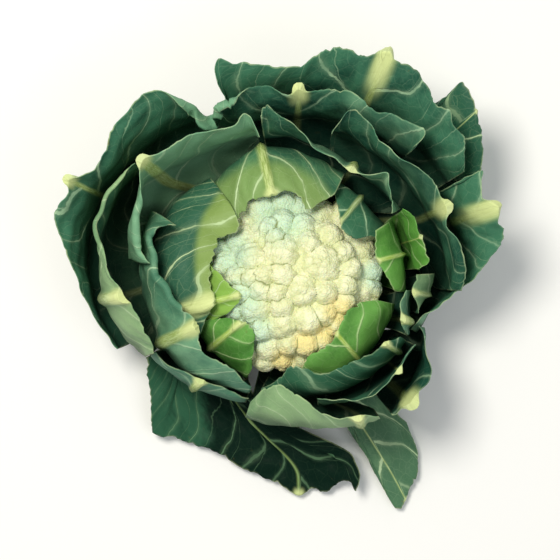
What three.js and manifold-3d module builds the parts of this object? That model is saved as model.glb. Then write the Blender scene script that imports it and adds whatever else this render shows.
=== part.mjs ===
// A cauliflower as picked: a white curd on a short cut stem, cupped by its leaves.
// Millimetres, +Z up. The origin is the centre of the stem's cut face, which the
// head stands on. Azimuths run counter-clockwise from +X, seen from above.
import * as THREE from "three";
import { mergeVertices } from "three/addons/utils/BufferGeometryUtils.js";
import Module from "manifold-3d";

const wasm = await Module();
wasm.setup();

// Driving dimensions.
const STEM_RADIUS = 25;
const STEM_TOP = 49;
const STEM_SIDES = 20;
const SKIN_GAP = 0.35;
const FOOT_RADIUS = 27.8;

const CURD_RADIUS = 77;
const CURD_HEIGHT = 56;
const CURD_LEVEL = 72;
const CURD_SQUARENESS = 2.5;
const CURD_SIDES = 20;
const CORE_DEPTH = 9;
const CORE_FOOT_RADIUS = 19;
const CORE_HEEL_RADIUS = 26;
const CORE_NECK = [57, 66];
const FLORET_SWELL = 1.16;
const FLORET_REACH = 0.97;
const BIG_FLORET = 13;

const BLADE_THICKNESS = 0.9;
const RIB_FOOT_DEPTH = 6.5;
const RIB_END_DEPTH = 5;
const RIB_END_HALF_WIDTH = 5.5;
const RIB_FOOT_HALF_WIDTH = 10;
const BELLY_AT = 0.55;
const OPEN_AT = 0.44;
const LYING_OPEN_AT = 0.9;
const LEAF_ROWS = [0, 0.13, 0.28, 0.43, 0.6, 0.81, 1];

// Rim radii and floret places are listed as they look from this height above the ground,
// drawn to true size at the second height, as things nearer the eye look larger.
const SEEN_FROM = 2000;
const TRUE_SIZE_AT = 100;

// The florets of the curd: x, y and radius of each one's dome, from the top row down.
const FLORETS = [
  [-27, 62, 16],
  [-8, 68, 14],
  [8, 64, 12],
  [25, 56, 13],
  [-8, 50, 11],
  [9, 49, 9.5],
  [-19, 46, 9],
  [-42, 36, 16],
  [-62, 27, 11],
  [-14, 38, 8],
  [31, 39, 11],
  [46, 41, 11],
  [58, 28, 12],
  [-57, 14, 11.5],
  [-34, 20, 12.5],
  [-9, 25, 15.5],
  [14, 34, 9],
  [24, 15, 17],
  [42, 25, 10],
  [49, 11, 10],
  [65, 10, 12],
  [-46, 5, 9.5],
  [-24, 5, 9],
  [-35, 3, 8],
  [-9, 6, 10.5],
  [46, -3, 9],
  [62, -6, 13],
  [-43, -10, 10],
  [-27, -7, 10],
  [-13, -9, 9],
  [8, -8, 13.5],
  [28, -9, 10],
  [43, -18, 10],
  [-31, -22, 13.5],
  [-9, -21, 9.5],
  [-48, -23, 10],
  [13, -32, 12.5],
  [26, -27, 10.5],
  [-9, -36, 12],
  [-27, -39, 10.5],
  [38, -34, 11],
  [-43, -37, 11],
  [-20, -54, 12.5],
  [-3, -52, 9.5],
  [12, -52, 11],
  [-8, -66, 9],
  [27, -50, 11],
  [-23, -67, 9],
  [-60, -8, 12],
  [-59, -27, 11],
  [-38, -56, 12],
  [53, -31, 13],
  [42, -51, 12],
  [22, -66, 12],
  [66, -24, 10],
  [62, 44, 11],
  [45, 58, 12],
  [-58, 46, 11],
  [-46, 58, 10],
  [7, -67, 9],
  [-54, -43, 10],
];

// Each leaf: the foot on the stem, the height at which its wall stands upright (belly),
// the place of the midrib in its rim list, and the rim itself. A rim entry is
// [azimuth in degrees, radius, height, radius of the wall at the belly].
// The leaves run from the youngest, which hug the curd, to the oldest.
const LEAVES = [
  {
    name: "leaf_01_inner_left",
    colour: "young",
    foot: { azimuth: 178, height: 44, width: 13 },
    belly: 82,
    rib: 3,
    rim: [
      [166, 70, 108, 84],
      [173, 62, 114, 84],
      [182, 55, 119, 84],
      [194, 48, 123, 84],
      [202, 53, 120, 84],
      [206, 64, 112, 84],
    ],
  },
  {
    name: "leaf_02_inner_lower_left",
    colour: "young",
    foot: { azimuth: 215, height: 43, width: 16 },
    belly: 80,
    rib: 2,
    rim: [
      [204, 78, 104, 91],
      [209, 64, 113, 91],
      [219, 55, 118, 90],
      [233, 53, 119, 90],
      [240, 65, 112, 90],
      [245, 82, 101, 91],
    ],
  },
  {
    name: "leaf_03_inner_lower_right",
    colour: "young",
    foot: { azimuth: 315, height: 44, width: 18 },
    belly: 80,
    rib: 3.5,
    rim: [
      [276, 75, 102, 88],
      [283, 64, 111, 89],
      [292, 62, 113, 90],
      [304, 61, 114, 90],
      [318, 56, 118, 90],
      [334, 53, 119, 90],
      [343, 60, 114, 90],
      [348, 73, 106, 90],
    ],
  },
  {
    name: "leaf_04_inner_upper_right",
    colour: "middle",
    foot: { azimuth: 52, height: 44, width: 16 },
    belly: 82,
    rib: 3.4,
    rim: [
      [29, 84, 106, 94],
      [33, 67, 112, 93],
      [40, 61, 116, 92],
      [48, 62, 115, 92],
      [55, 69, 110, 93],
      [61, 77, 104, 94],
      [66, 85, 97, 95],
    ],
  },
  {
    name: "leaf_05_inner_right",
    colour: "young",
    foot: { azimuth: 8, height: 44, width: 14 },
    belly: 80,
    rib: 2.5,
    rim: [
      [-5, 86, 98, 98],
      [2, 79, 105, 98],
      [10, 76, 108, 98],
      [18, 74, 110, 98],
      [26, 76, 112, 99],
      [32, 83, 114, 101],
    ],
  },
  {
    name: "leaf_06_upper",
    colour: "sunny",
    foot: { azimuth: 103, height: 43, width: 24 },
    belly: 80,
    rib: 5,
    rim: [
      [64, 84, 113, 103],
      [71, 72, 115, 105],
      [78, 66, 117, 108],
      [86, 76, 112, 112],
      [94, 80, 110, 116],
      [103, 79, 111, 118],
      [112, 79, 111, 116],
      [118, 82, 109, 113],
      [123, 74, 111, 110],
      [128, 71, 110, 108],
      [133, 74, 106, 107],
    ],
  },
  {
    name: "leaf_07_left",
    colour: "sunny",
    foot: { azimuth: 150, height: 36, width: 26 },
    belly: 78,
    rib: 8,
    rim: [
      [128, 90, 110, 114],
      [131, 72, 119, 115],
      [138, 67, 118, 118],
      [146, 72, 114, 121],
      [154, 74, 111, 123],
      [162, 74, 112, 123],
      [172, 73, 114, 121],
      [184, 72, 116, 118],
      [195, 71, 118, 115],
      [203, 80, 112, 112],
      [211, 93, 106, 110],
    ],
  },
  {
    name: "leaf_08_lower",
    colour: "middle",
    foot: { azimuth: 272, height: 36, width: 26 },
    belly: 78,
    rib: 8,
    rim: [
      [254, 93, 98, 102],
      [262, 82, 106, 101],
      [268, 70, 114, 100],
      [277, 73, 114, 100],
      [288, 80, 114, 101],
      [299, 83, 117, 103],
      [310, 86, 121, 106],
      [319, 91, 126, 107],
      [327, 94, 130, 108],
      [333, 103, 124, 109],
    ],
  },
  {
    name: "leaf_09_right_upright",
    colour: "young",
    foot: { azimuth: 22, height: 36, width: 16 },
    belly: 78,
    rib: 2.6,
    rim: [
      [6, 110, 112, 105],
      [9, 119, 117, 105],
      [15, 117, 124, 105],
      [22, 115, 130, 106],
      [28, 117, 131, 106],
      [33, 111, 130, 107],
    ],
  },
  {
    name: "leaf_10_upper_right",
    colour: "outer",
    foot: { azimuth: 74, height: 36, width: 26 },
    belly: 76,
    rib: 5,
    rim: [
      [34, 104, 122, 112],
      [39, 109, 128, 111],
      [44, 116, 133, 110],
      [49, 124, 136, 110],
      [54, 112, 139, 110],
      [62, 107, 141, 112],
      [70, 109, 139, 115],
      [78, 114, 137, 119],
      [86, 125, 135, 122],
      [93, 138, 135, 125],
      [98, 155, 137, 126],
      [101, 144, 131, 126],
    ],
  },
  {
    name: "leaf_11_left_hooded",
    colour: "outer",
    foot: { azimuth: 197, height: 31, width: 26 },
    belly: 75,
    rib: 7,
    rim: [
      [153, 110, 120, 136],
      [157, 121, 125, 135],
      [163, 124, 128, 134],
      [171, 118, 130, 132],
      [179, 110, 131, 130],
      [187, 100, 132, 128],
      [196, 92, 134, 126],
      [205, 88, 136, 124],
      [212, 91, 133, 122],
      [219, 97, 128, 120],
      [226, 92, 127, 115],
      [233, 88, 125, 110],
      [241, 91, 120, 106],
      [249, 95, 113, 103],
    ],
  },
  {
    name: "leaf_12_right_folded",
    colour: "outer",
    foot: { azimuth: 336, height: 38, width: 20 },
    belly: 76,
    rib: 2,
    rim: [
      [335, 106, 104, 108],
      [337, 102, 118, 108],
      [341, 98, 128, 106],
      [345, 96, 126, 104],
      [350, 93, 123, 103],
      [356, 97, 116, 102],
    ],
  },
  {
    name: "leaf_13_lower_right_cup",
    colour: "outer",
    foot: { azimuth: 308, height: 28, width: 18 },
    belly: 74,
    rib: 5.6,
    rim: [
      [282, 102, 106, 108],
      [286, 104, 111, 110],
      [293, 110, 117, 112],
      [300, 115, 121, 114],
      [308, 117, 125, 115],
      [316, 118, 128, 116],
      [323, 116, 130, 117],
      [329, 117, 126, 118],
      [333, 119, 120, 119],
    ],
  },
  {
    name: "leaf_14_lower_wrapped",
    colour: "grey",
    foot: { azimuth: 258, height: 28, width: 28 },
    belly: 72,
    rib: 9,
    rim: [
      [251, 108, 108, 123],
      [254, 96, 117, 124],
      [258, 87, 122, 124],
      [263, 88, 123, 124],
      [268, 92, 124, 124],
      [273, 97, 125, 125],
      [278, 105, 126, 127],
      [283, 114, 128, 129],
      [289, 122, 129, 132],
      [296, 127, 131, 135],
      [300, 130, 126, 137],
      [303, 134, 118, 139],
    ],
  },
  {
    name: "leaf_15_upper_left",
    colour: "outer",
    foot: { azimuth: 122, height: 28, width: 28 },
    belly: 74,
    rib: 7,
    rim: [
      [103, 126, 126, 130],
      [104, 141, 134, 130],
      [106, 150, 138, 131],
      [111, 144, 139, 132],
      [120, 147, 142, 134],
      [128, 155, 146, 137],
      [136, 159, 149, 143],
      [141, 165, 152, 147],
      [146, 158, 149, 152],
      [151, 150, 147, 150],
      [157, 147, 144, 148],
      [163, 141, 141, 146],
      [168, 133, 137, 143],
      [172, 121, 130, 141],
    ],
  },
  {
    name: "leaf_16_right_lobe",
    colour: "grey",
    foot: { azimuth: -8, height: 28, width: 20 },
    belly: 74,
    rib: 2,
    rim: [
      [-14, 110, 106, 110],
      [-10, 106, 114, 113],
      [-5, 103, 119, 117],
      [0, 102, 120, 121],
      [3.5, 104, 119, 123],
    ],
  },
  {
    name: "leaf_17_right_wide",
    colour: "outer",
    foot: { azimuth: 48, height: 27, width: 26 },
    belly: 73,
    rib: 5,
    rim: [
      [-3, 145, 116, 133],
      [3, 150, 124, 134],
      [9, 149, 129, 134],
      [15, 145, 134, 133],
      [20, 141, 139, 132],
      [26, 147, 143, 131],
      [32, 147, 141, 131],
      [38, 146, 139, 131],
      [45, 142, 139, 131],
      [52, 139, 140, 131],
      [59, 142, 142, 131],
      [64, 149, 144, 132],
      [70, 156, 146, 133],
      [73, 144, 142, 134],
      [75, 130, 132, 135],
    ],
  },
  {
    name: "leaf_18_lower_left_low",
    colour: "outer",
    foot: { azimuth: 227, height: 20, width: 20 },
    belly: 66,
    rib: 3,
    rim: [
      [207, 129, 100, 138],
      [213, 125, 104, 134],
      [220, 119, 106, 129],
      [227, 113, 106, 124],
      [235, 108, 102, 119],
      [242, 105, 96, 115],
      [249, 103, 90, 111],
    ],
  },
  {
    name: "leaf_19_left_folded",
    colour: "grey",
    foot: { azimuth: 176, height: 20, width: 26 },
    belly: 72,
    rib: 7,
    rim: [
      [143, 167, 134, 160],
      [148, 173, 138, 164],
      [155, 177, 141, 167],
      [163, 178, 143, 168],
      [169, 168, 141, 167],
      [175, 157, 140, 166],
      [180, 149, 142, 165],
      [185, 144, 145, 162],
      [191, 134, 143, 158],
      [197, 132, 139, 152],
      [203, 130, 132, 146],
      [207, 131, 121, 142],
    ],
  },
  {
    name: "leaf_20_top_inner",
    colour: "outer",
    foot: { azimuth: 88, height: 20, width: 28 },
    belly: 72,
    rib: 8,
    rim: [
      [48, 158, 130, 144],
      [49, 171, 135, 144],
      [56, 170, 137, 144],
      [62, 165, 138, 143],
      [68, 167, 141, 142],
      [74, 170, 143, 142],
      [80, 167, 144, 142],
      [85, 163, 148, 142],
      [88, 166, 152, 142],
      [92, 162, 148, 142],
      [98, 168, 144, 142],
      [104, 173, 142, 142],
      [110, 178, 140, 143],
      [114, 174, 136, 144],
      [116, 160, 130, 145],
    ],
  },
  {
    name: "leaf_21_right_cut",
    colour: "outer",
    foot: { azimuth: 6, height: 20, width: 26 },
    belly: 70,
    rib: 9,
    rim: [
      [-22, 109, 88, 116],
      [-17, 114, 93, 119],
      [-13, 122, 96, 122],
      [-8, 131, 100, 129],
      [-3, 143, 104, 138],
      [2, 157, 109, 144],
      [7, 170, 114, 148],
      [12, 186, 122, 149],
      [16, 184, 128, 149],
      [20.5, 187, 134, 148],
      [24, 177, 131, 147],
      [28, 183, 133, 146],
      [30.5, 188, 131, 146],
      [31.5, 172, 124, 146],
    ],
  },
  {
    name: "leaf_22_lower_right_cut",
    colour: "outer",
    foot: { azimuth: 309, height: 20, width: 26 },
    belly: 66,
    rib: 2,
    rim: [
      [307, 140, 108, 141],
      [310, 142, 116, 139],
      [314.5, 145, 124, 136],
      [319, 141, 123, 134],
      [324, 144, 121, 132],
      [328, 141, 118, 130],
      [332, 132, 114, 128],
      [337, 121, 109, 124],
      [341, 114, 102, 121],
    ],
  },
  {
    name: "leaf_23_top_outer",
    colour: "outer",
    foot: { azimuth: 60, height: 12, width: 30 },
    belly: 66,
    rib: 9,
    rim: [
      [32.6, 174, 112, 160],
      [36, 182, 122, 160],
      [39.5, 190, 130, 160],
      [43.8, 190, 133, 160],
      [47.2, 200, 136, 160],
      [50.4, 197, 138, 159],
      [54.6, 202, 140, 159],
      [60, 209, 144, 158],
      [64.8, 208, 148, 158],
      [67.3, 214, 153, 158],
      [71.5, 204, 149, 158],
      [73.6, 207, 146, 157],
      [79.6, 204, 142, 157],
      [84, 195, 139, 157],
      [87.5, 185, 137, 157],
      [95.8, 186, 135, 157],
      [102, 191, 132, 157],
      [108.5, 200, 128, 158],
      [110, 182, 120, 158],
    ],
  },
  {
    name: "leaf_24_left_outer",
    colour: "outer",
    foot: { azimuth: 146, height: 12, width: 30 },
    belly: 62,
    rib: 10,
    rim: [
      [113, 157, 106, 157],
      [117.5, 160, 116, 158],
      [118.5, 178, 124, 160],
      [122.3, 194, 130, 163],
      [127, 204, 133, 166],
      [131.8, 203, 135, 169],
      [139.7, 201, 137, 172],
      [144, 197, 138, 174],
      [150, 195, 141, 177],
      [153, 202, 145, 179],
      [155.5, 211, 147, 180],
      [158.5, 204, 141, 180],
      [163.7, 211, 133, 181],
      [169, 201, 123, 180],
      [174.3, 190, 114, 178],
      [179.5, 181, 105, 175],
      [185.7, 175, 95, 172],
      [195.5, 164, 77, 165],
      [201, 158, 68, 160],
    ],
  },
  {
    name: "leaf_25_top_right_pointed",
    colour: "grey",
    foot: { azimuth: 22, height: 8, width: 22 },
    belly: 52,
    rib: 4,
    rim: [
      [28, 180, 80, 166],
      [30.5, 187, 90, 167],
      [34.6, 198, 100, 168],
      [38.5, 206, 105, 169],
      [42.8, 214, 109, 170],
      [49.2, 225, 112, 171],
      [50.3, 209, 104, 172],
      [51, 196, 92, 172],
    ],
  },
  {
    name: "leaf_26_lower_right_hanging",
    colour: "grey",
    foot: { azimuth: 292, height: 8, width: 22 },
    lying: true,
    rib: 3.6,
    rim: [
      [291, 138, 15, 8],
      [293.3, 166, 13, 8],
      [293.8, 188, 10, 8],
      [295, 217, 6.5, 8],
      [299.8, 206, 8, 8],
      [304.7, 194, 9, 8],
      [307.9, 172, 13, 8],
      [308.5, 150, 17, 8],
    ],
  },
  {
    name: "leaf_27_lower_left_lying",
    colour: "dark",
    foot: { azimuth: 190, height: 8, width: 32 },
    lying: true,
    rib: 11,
    rim: [
      [207.3, 140, 20, 4],
      [213, 147, 19, 4],
      [219, 155, 18, 4],
      [224, 167, 16, 4],
      [227.6, 175, 14, 4],
      [233, 167, 13, 4],
      [238.6, 163, 12, 4],
      [245.7, 159, 11, 4],
      [254.5, 164, 10, 4],
      [261, 168, 9, 4],
      [266.6, 173, 8, 4],
      [272, 182, 8, 4],
      [276, 177, 9, 4],
      [279.2, 182, 10, 4],
      [283, 176, 15, 4],
      [286, 178, 21, 4],
      [287.4, 187, 24, 4],
      [289.4, 175, 28, 4],
    ],
  },
];

const COLOURS = {
  curd: 0xefe9c4,
  stem: 0xb9c58c,
  young: 0x5f9a3c,
  sunny: 0x9bab55,
  middle: 0x3f7a55,
  outer: 0x1f4a40,
  grey: 0x6f8f6a,
  dark: 0x17382b,
};

function smoothstep(low, high, x) {
  const t = Math.min(Math.max((x - low) / (high - low), 0), 1);
  return t * t * (3 - 2 * t);
}

function mix(a, b, share) {
  return a + (b - a) * share;
}

// The share of its seen size that a thing at this height truly has.
function trueShare(height) {
  return (SEEN_FROM - height) / (SEEN_FROM - TRUE_SIZE_AT);
}

// The rim's four values at a place along its list, on a smooth curve through the entries.
function rimAt(rim, place) {
  const last = rim.length - 1;
  const i = Math.min(Math.floor(place), last - 1);
  const t = place - i;
  const [p0, p1, p2, p3] = [i - 1, i, i + 1, i + 2].map((k) => rim[Math.min(Math.max(k, 0), last)]);
  return p1.map((value, k) => {
    const rise = p2[k] - value;
    const before = i > 0 ? (p2[k] - p0[k]) / 2 : rise;
    const after = i + 2 <= last ? (p3[k] - value) / 2 : rise;
    const bend = t * t * (t - 1) * after + t * (t - 1) * (t - 1) * before;
    return value + rise * t * t * (3 - 2 * t) + bend;
  });
}

// A point of a leaf's middle surface: along runs from the foot (0) to the rim (1),
// side from one edge (-1) over the midrib (0) to the other edge (1).
function leafPoint(leaf, along, side) {
  const last = leaf.rim.length - 1;
  const place = leaf.rib + side * (side < 0 ? leaf.rib : last - leaf.rib);
  const [azimuth, seenRadius, height, belly] = rimAt(leaf.rim, place);
  const radius = seenRadius * trueShare(height);
  let r;
  let z;
  if (leaf.lying) {
    r = mix(FOOT_RADIUS, radius, along);
    z = mix(leaf.foot.height, height, along * along) + belly * Math.sin(Math.PI * along);
  } else if (along < BELLY_AT) {
    const turn = ((along / BELLY_AT) * Math.PI) / 2;
    r = mix(FOOT_RADIUS, belly, Math.sin(turn));
    z = leaf.belly - (leaf.belly - leaf.foot.height) * Math.cos(turn);
  } else {
    const t = (along - BELLY_AT) / (1 - BELLY_AT);
    r = mix(belly, radius, t * t);
    z = mix(leaf.belly, height, t * (1.25 - 0.25 * t));
  }
  const open = smoothstep(0, leaf.lying ? LYING_OPEN_AT : OPEN_AT, along);
  const footAngle = THREE.MathUtils.degToRad(leaf.foot.azimuth) + (side * leaf.foot.width) / 2 / r;
  const angle = mix(footAngle, THREE.MathUtils.degToRad(azimuth), open);
  return new THREE.Vector3(r * Math.cos(angle), r * Math.sin(angle), z);
}

// The leaf's outward unit normal, away from the curd.
function leafNormal(leaf, along, side) {
  const step = 0.01;
  const a = Math.min(Math.max(along, step), 1 - step);
  const s = Math.min(Math.max(side, step - 1), 1 - step);
  const lengthwise = leafPoint(leaf, a + step, s).sub(leafPoint(leaf, a - step, s));
  const across = leafPoint(leaf, a, s + step).sub(leafPoint(leaf, a, s - step));
  return across.cross(lengthwise).normalize();
}

// Width of one half of the blade, from the midrib to the edge, at a row.
function halfWidth(leaf, along, side) {
  const steps = 6;
  let width = 0;
  for (let k = 0; k < steps; k++) {
    const from = leafPoint(leaf, along, (side * k) / steps);
    width += from.distanceTo(leafPoint(leaf, along, (side * (k + 1)) / steps));
  }
  return width;
}

// A closed leaf: a blade with a midrib that is thick at the foot and cut off at the rim.
function leafGeometry(leaf) {
  const last = leaf.rim.length - 1;
  const counts = [Math.round(leaf.rib), Math.round(last - leaf.rib)].map((n) => Math.max(n, 2));
  const columns = [];
  for (let k = counts[0]; k >= 1; k--) columns.push({ sign: -1, share: k / counts[0] });
  columns.push({ sign: -1, share: 0 }, { sign: 0, share: 0 }, { sign: 1, share: 0 });
  for (let k = 1; k <= counts[1]; k++) columns.push({ sign: 1, share: k / counts[1] });

  const inner = [];
  const outer = [];
  for (const along of LEAF_ROWS) {
    const ribFoot = Math.min(leaf.foot.width * 0.4, RIB_FOOT_HALF_WIDTH);
    const ribHalf = mix(ribFoot, RIB_END_HALF_WIDTH, smoothstep(0, 0.6, along));
    const depth = mix(RIB_FOOT_DEPTH, RIB_END_DEPTH, along);
    for (const { sign, share } of columns) {
      const half = sign === 0 ? 1 : halfWidth(leaf, along, sign);
      const ribShare = Math.min(ribHalf / half, 0.75);
      const side = sign * mix(ribShare, 1, share);
      const middle = leafPoint(leaf, along, side);
      const normal = leafNormal(leaf, along, side);
      const onRib = sign === 0 ? 1 : 0;
      const rib = depth * onRib;
      inner.push(middle.clone().addScaledVector(normal, -BLADE_THICKNESS / 2 - rib * 0.15));
      outer.push(middle.clone().addScaledVector(normal, BLADE_THICKNESS / 2 + rib * 0.85));
    }
  }
  return closedSheet(inner, outer, LEAF_ROWS.length, columns.length);
}

// Two grids of points, alike in layout, closed into one solid sheet.
function closedSheet(inner, outer, rows, columns) {
  const points = [...inner, ...outer];
  const offset = inner.length;
  const faces = [];
  const at = (row, column) => row * columns + column;
  for (let row = 0; row < rows - 1; row++) {
    for (let column = 0; column < columns - 1; column++) {
      const [a, b] = [at(row, column), at(row, column + 1)];
      const [c, d] = [at(row + 1, column + 1), at(row + 1, column)];
      faces.push([a, c, b], [a, d, c]);
      faces.push([a + offset, b + offset, c + offset], [a + offset, c + offset, d + offset]);
    }
  }
  const border = [];
  for (let column = 0; column < columns - 1; column++) border.push(at(0, column));
  for (let row = 0; row < rows - 1; row++) border.push(at(row, columns - 1));
  for (let column = columns - 1; column > 0; column--) border.push(at(rows - 1, column));
  for (let row = rows - 1; row > 0; row--) border.push(at(row, 0));
  border.forEach((a, k) => {
    const b = border[(k + 1) % border.length];
    faces.push([a, b, b + offset], [a, b + offset, a + offset]);
  });
  const geometry = new THREE.BufferGeometry();
  geometry.setAttribute("position", new THREE.Float32BufferAttribute(points.flatMap((p) => p.toArray()), 3));
  geometry.setIndex(faces.flat());
  return geometry;
}

// A closed three.js geometry as a solid that can be cut and joined, and back.
function solidOf(geometry) {
  const bare = geometry.clone();
  bare.deleteAttribute("normal");
  bare.deleteAttribute("uv");
  const merged = mergeVertices(bare, 1e-4);
  return new wasm.Manifold(
    new wasm.Mesh({
      numProp: 3,
      vertProperties: new Float32Array(merged.attributes.position.array),
      triVerts: new Uint32Array(merged.index.array),
    }),
  );
}

function geometryOf(solid) {
  const mesh = solid.getMesh();
  const geometry = new THREE.BufferGeometry();
  geometry.setAttribute("position", new THREE.BufferAttribute(new Float32Array(mesh.vertProperties), 3));
  geometry.setIndex(new THREE.BufferAttribute(new Uint32Array(mesh.triVerts), 1));
  return geometry;
}

function lathe(profile, sides) {
  const points = profile.map(([r, z]) => new THREE.Vector2(r, z));
  return new THREE.LatheGeometry(points, sides).rotateX(Math.PI / 2);
}

// One floret's dome, set so that it just touches the curd's outline from inside.
function floretBall([seenX, seenY, seenRadius]) {
  const radius = seenRadius * FLORET_SWELL;
  const shrunk = CURD_RADIUS - radius;
  const share = Math.min(Math.hypot(seenX, seenY) / shrunk, FLORET_REACH);
  const rise = (1 - share ** CURD_SQUARENESS) ** (1 / CURD_SQUARENESS);
  const z = CURD_LEVEL + (CURD_HEIGHT - radius) * rise;
  const scale = trueShare(z + radius);
  const ball = new THREE.SphereGeometry(radius, radius > BIG_FLORET ? 8 : 7, 5);
  const out = new THREE.Vector3(seenX * share * share, seenY * share * share, shrunk).normalize();
  ball.applyQuaternion(new THREE.Quaternion().setFromUnitVectors(new THREE.Vector3(0, 1, 0), out));
  return ball.translate(seenX * scale, seenY * scale, z);
}

// The curd: a core on a tapering stalk, covered with florets and trimmed underneath.
function curdGeometry() {
  const dome = [];
  const bare = CURD_RADIUS - CORE_DEPTH;
  for (let k = 0; k <= 6; k++) {
    const turn = (k / 6) * (Math.PI / 2);
    const across = Math.cos(turn) ** (2 / CURD_SQUARENESS);
    const up = Math.sin(turn) ** (2 / CURD_SQUARENESS);
    dome.push([k === 6 ? 0 : bare * across, CURD_LEVEL + (CURD_HEIGHT - CORE_DEPTH) * up]);
  }
  const base = STEM_TOP + SKIN_GAP;
  const foot = [[0, base], [CORE_FOOT_RADIUS, base], [CORE_HEEL_RADIUS, base + 3], CORE_NECK];
  const core = lathe([...foot, ...dome], CURD_SIDES);
  const cone = [[110, 92], [78, 75], [60, 65], [CORE_HEEL_RADIUS + 1, base + 3], [CORE_FOOT_RADIUS + 1, base]];
  const below = [[0, 0], [110, 0], ...cone, [0, base]];
  let curd = solidOf(core);
  for (const floret of FLORETS) curd = curd.add(solidOf(floretBall(floret)));
  return geometryOf(curd.subtract(solidOf(lathe(below, CURD_SIDES))));
}

// The stem: a stout stump with a flat cut face below and a slight swelling at the top.
function stemGeometry() {
  return lathe(
    [
      [0, 0],
      [STEM_RADIUS - 2, 0],
      [STEM_RADIUS - 0.4, 1.6],
      [STEM_RADIUS, 6],
      [STEM_RADIUS, 44],
      [STEM_RADIUS - 2.5, STEM_TOP],
      [0, STEM_TOP],
    ],
    STEM_SIDES,
  );
}

function materialOf(colour, roughness) {
  return new THREE.MeshStandardMaterial({ color: COLOURS[colour], roughness, metalness: 0 });
}

function namedMesh(name, geometry, material) {
  const mesh = new THREE.Mesh(geometry, material);
  mesh.name = name;
  return mesh;
}

const cauliflower = new THREE.Group();
cauliflower.add(namedMesh("stem", stemGeometry(), materialOf("stem", 0.7)));
cauliflower.add(namedMesh("curd", curdGeometry(), materialOf("curd", 0.75)));
for (const leaf of LEAVES) {
  cauliflower.add(namedMesh(leaf.name, leafGeometry(leaf), materialOf(leaf.colour, 0.55)));
}

export default cauliflower;
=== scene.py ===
# %% [markdown]
# # A cauliflower with its leaves, seen from straight above
#
# The head is a white curd on a short stem, held in a bowl of 27 leaves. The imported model
# already has every piece at its true place and size, so each finer piece made here takes
# the place of one solid of that model. Lengths are worked out in millimetres, as a grower
# would measure them, and turned to metres only when a mesh is written.

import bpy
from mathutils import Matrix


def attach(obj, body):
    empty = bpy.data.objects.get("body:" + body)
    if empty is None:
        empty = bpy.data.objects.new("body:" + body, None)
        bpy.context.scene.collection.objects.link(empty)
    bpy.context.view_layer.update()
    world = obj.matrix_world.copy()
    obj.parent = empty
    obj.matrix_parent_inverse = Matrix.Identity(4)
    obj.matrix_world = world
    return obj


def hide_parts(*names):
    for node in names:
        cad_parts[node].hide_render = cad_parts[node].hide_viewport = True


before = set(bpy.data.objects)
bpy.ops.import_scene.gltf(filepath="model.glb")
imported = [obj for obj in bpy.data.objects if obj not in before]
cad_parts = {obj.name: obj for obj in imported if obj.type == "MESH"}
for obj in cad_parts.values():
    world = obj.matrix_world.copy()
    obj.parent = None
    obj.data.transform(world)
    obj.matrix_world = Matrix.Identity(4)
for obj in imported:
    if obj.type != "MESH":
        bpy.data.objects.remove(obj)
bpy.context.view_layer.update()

# %% Modules and units
import math

import bpy
import numpy as np
from mathutils.kdtree import KDTree

MM = 0.001

# %% [markdown]
# ## The shapes that everything is drawn on
#
# A leaf of this head is a curved sheet. It could be sculpted, but a rule that gives the
# sheet's place for every step along it and across it is better here: the same rule can be
# sampled finely, so the leaf is smooth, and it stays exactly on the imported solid. The rule
# has a stem end (along = 0), a rim (along = 1), and sides from -1 over the midrib at 0 to 1.

# %% Proportions of the plant
SEEN_FROM = 2000
TRUE_SIZE_AT = 100
FOOT_RADIUS = 27.8
BELLY_AT = 0.55
OPEN_AT = 0.44
LYING_OPEN_AT = 0.9


def mix(a, b, share):
    return a + (b - a) * share


def ease(low, high, x):
    t = np.clip((x - low) / (high - low), 0, 1)
    return t * t * (3 - 2 * t)


def true_share(height):
    """What share of its seen size a thing at this height has, as near things look larger."""
    return (SEEN_FROM - height) / (SEEN_FROM - TRUE_SIZE_AT)


# %% [markdown]
# ## The plan of each leaf
#
# Each leaf is written as a plan: the foot on the stem (azimuth, height, width), the height
# of the belly where its wall stands upright, the place of the midrib in the rim list, and
# the rim, point by point: azimuth, radius as seen, height, and the wall's radius at the
# belly. Leaves that lie flat have a hump there instead. The order runs from the youngest
# leaf, which hugs the curd, to the oldest.

# %% Leaf plans


LEAVES = {}


def leaf_plan(name, finish, foot, rib, rim, belly=None):
    LEAVES[name] = dict(finish=finish, foot=foot, rib=rib, rim=np.array(rim, float), belly=belly)


leaf_plan(
    "leaf_01_inner_left", "bright", foot=(178, 44, 13), belly=82, rib=3,
    rim=[(166, 70, 108, 84), (173, 62, 114, 84), (182, 55, 119, 84), (194, 48, 123, 84),
         (202, 53, 120, 84), (206, 64, 112, 84)],
)
leaf_plan(
    "leaf_02_inner_lower_left", "bright", foot=(215, 43, 16), belly=80, rib=2,
    rim=[(204, 78, 104, 91), (209, 64, 113, 91), (219, 55, 118, 90), (233, 53, 119, 90),
         (240, 65, 112, 90), (245, 82, 101, 91)],
)
leaf_plan(
    "leaf_03_inner_lower_right", "bright", foot=(315, 44, 18), belly=80, rib=3.5,
    rim=[(276, 75, 102, 88), (283, 64, 111, 89), (292, 62, 113, 90), (304, 61, 114, 90),
         (318, 56, 118, 90), (334, 53, 119, 90), (343, 60, 114, 90), (348, 73, 106, 90)],
)
leaf_plan(
    "leaf_04_inner_upper_right", "middle", foot=(52, 44, 16), belly=82, rib=3.4,
    rim=[(29, 84, 106, 94), (33, 67, 112, 93), (40, 61, 116, 92), (48, 62, 115, 92), (55, 69, 110, 93),
         (61, 77, 104, 94), (66, 85, 97, 95)],
)
leaf_plan(
    "leaf_05_inner_right", "bright", foot=(8, 44, 14), belly=80, rib=2.5,
    rim=[(-5, 86, 98, 98), (2, 79, 105, 98), (10, 76, 108, 98), (18, 74, 110, 98), (26, 76, 112, 99),
         (32, 83, 114, 101)],
)
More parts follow.
